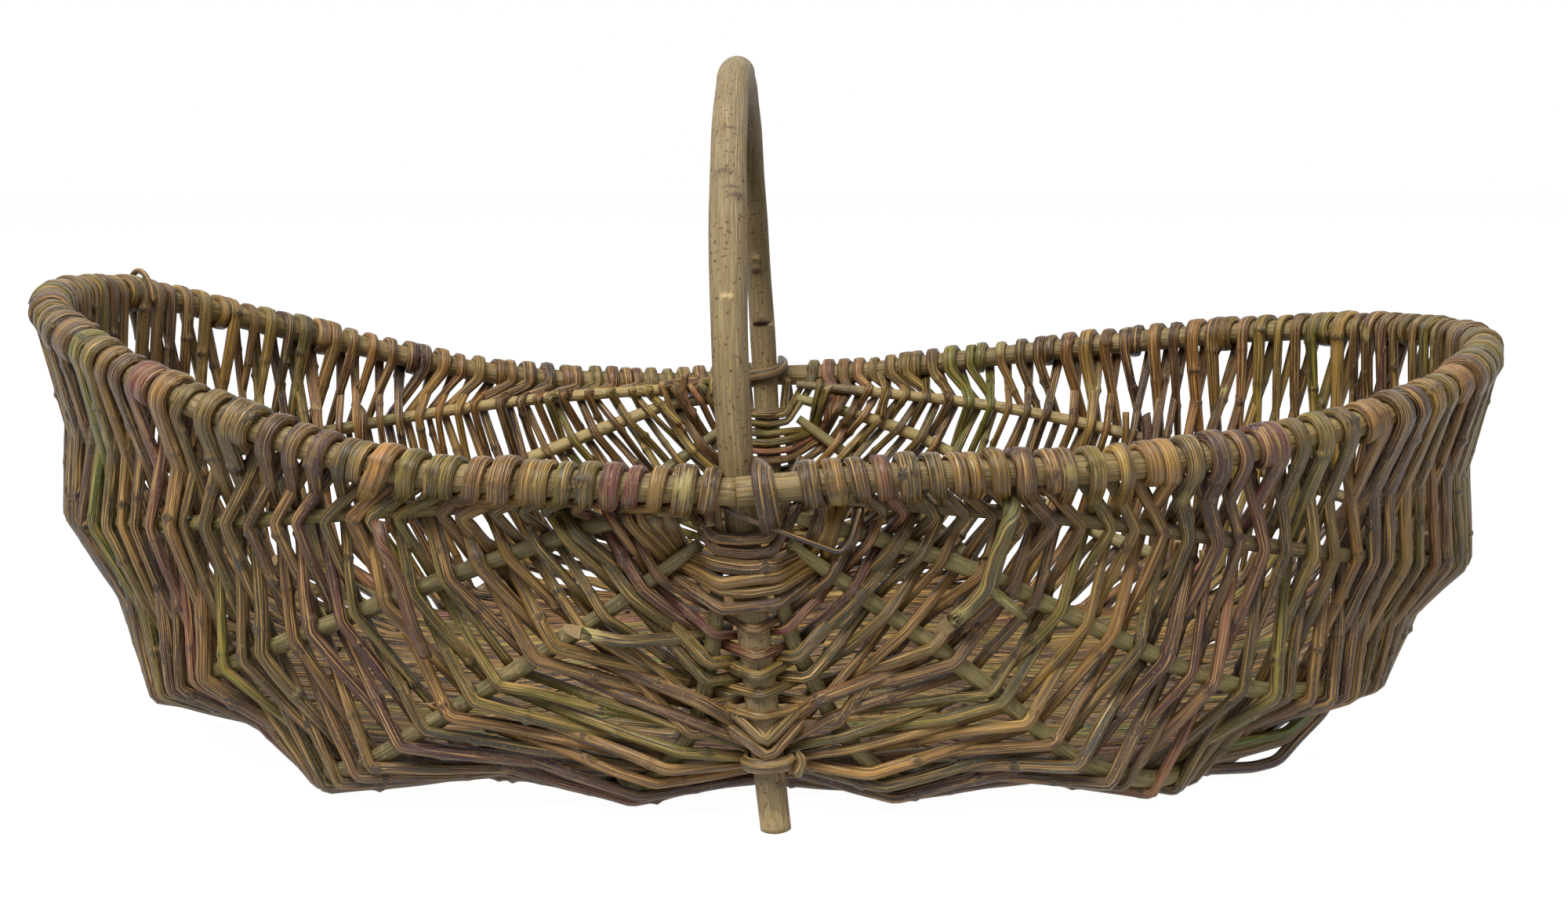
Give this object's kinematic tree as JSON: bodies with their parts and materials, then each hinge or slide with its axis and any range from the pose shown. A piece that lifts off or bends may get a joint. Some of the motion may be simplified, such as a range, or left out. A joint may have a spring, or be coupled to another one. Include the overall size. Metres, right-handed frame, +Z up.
{
  "type": "garden trug basket",
  "caption": "Long oval open basket of woven willow rods on a frame of ribs, with a fixed bow handle and two short feet.",
  "frame": {"origin": "centre of the footprint, on the surface that the basket stands on", "axes": "+X along the basket's length towards its lower end, +Y from the front to the back, +Z up"},
  "size_m": [0.5976, 0.37, 0.2739],
  "materials": {
    "handle_rod": "willow rod in its thin tan bark, satin",
    "rim_rod": "willow rod in its bark, satin",
    "rib_rod": "split and whole willow rod, satin",
    "wrapping_weaver": "flattened willow weaver in brown bark, satin",
    "weaver": "round willow weavers in brown, olive and purplish bark, satin"
  },
  "bodies": {
    "root": {"back_floor_weave": "weaver", "back_foot_tie": "wrapping_weaver", "back_handle_lashing": "wrapping_weaver", "back_left_leg_weave": "weaver", "back_left_rim_wrap": "wrapping_weaver", "back_left_weave_1": "weaver", "back_left_weave_2": "weaver", "back_left_weave_3": "weaver", "back_left_weave_4": "weaver", "back_right_leg_weave": "weaver", "back_right_rim_wrap": "wrapping_weaver", "back_right_weave_1": "weaver", "back_right_weave_2": "weaver", "back_right_weave_3": "weaver", "back_right_weave_4": "weaver", "front_floor_weave": "weaver", "front_foot_tie": "wrapping_weaver", "front_handle_lashing": "wrapping_weaver", "front_left_leg_weave": "weaver", "front_left_rim_wrap": "wrapping_weaver", "front_left_weave_1": "weaver", "front_left_weave_2": "weaver", "front_left_weave_3": "weaver", "front_left_weave_4": "weaver", "front_right_leg_weave": "weaver", "front_right_rim_wrap": "wrapping_weaver", "front_right_weave_1": "weaver", "front_right_weave_2": "weaver", "front_right_weave_3": "weaver", "front_right_weave_4": "weaver", "handle_bow": "handle_rod", "left_rib_1": "rib_rod", "left_rib_2": "rib_rod", "left_rib_3": "rib_rod", "left_rib_4": "rib_rod", "right_rib_1": "rib_rod", "right_rib_2": "rib_rod", "right_rib_3": "rib_rod", "right_rib_4": "rib_rod", "rim_hoop": "rim_rod"}
  },
  "joints": []
}
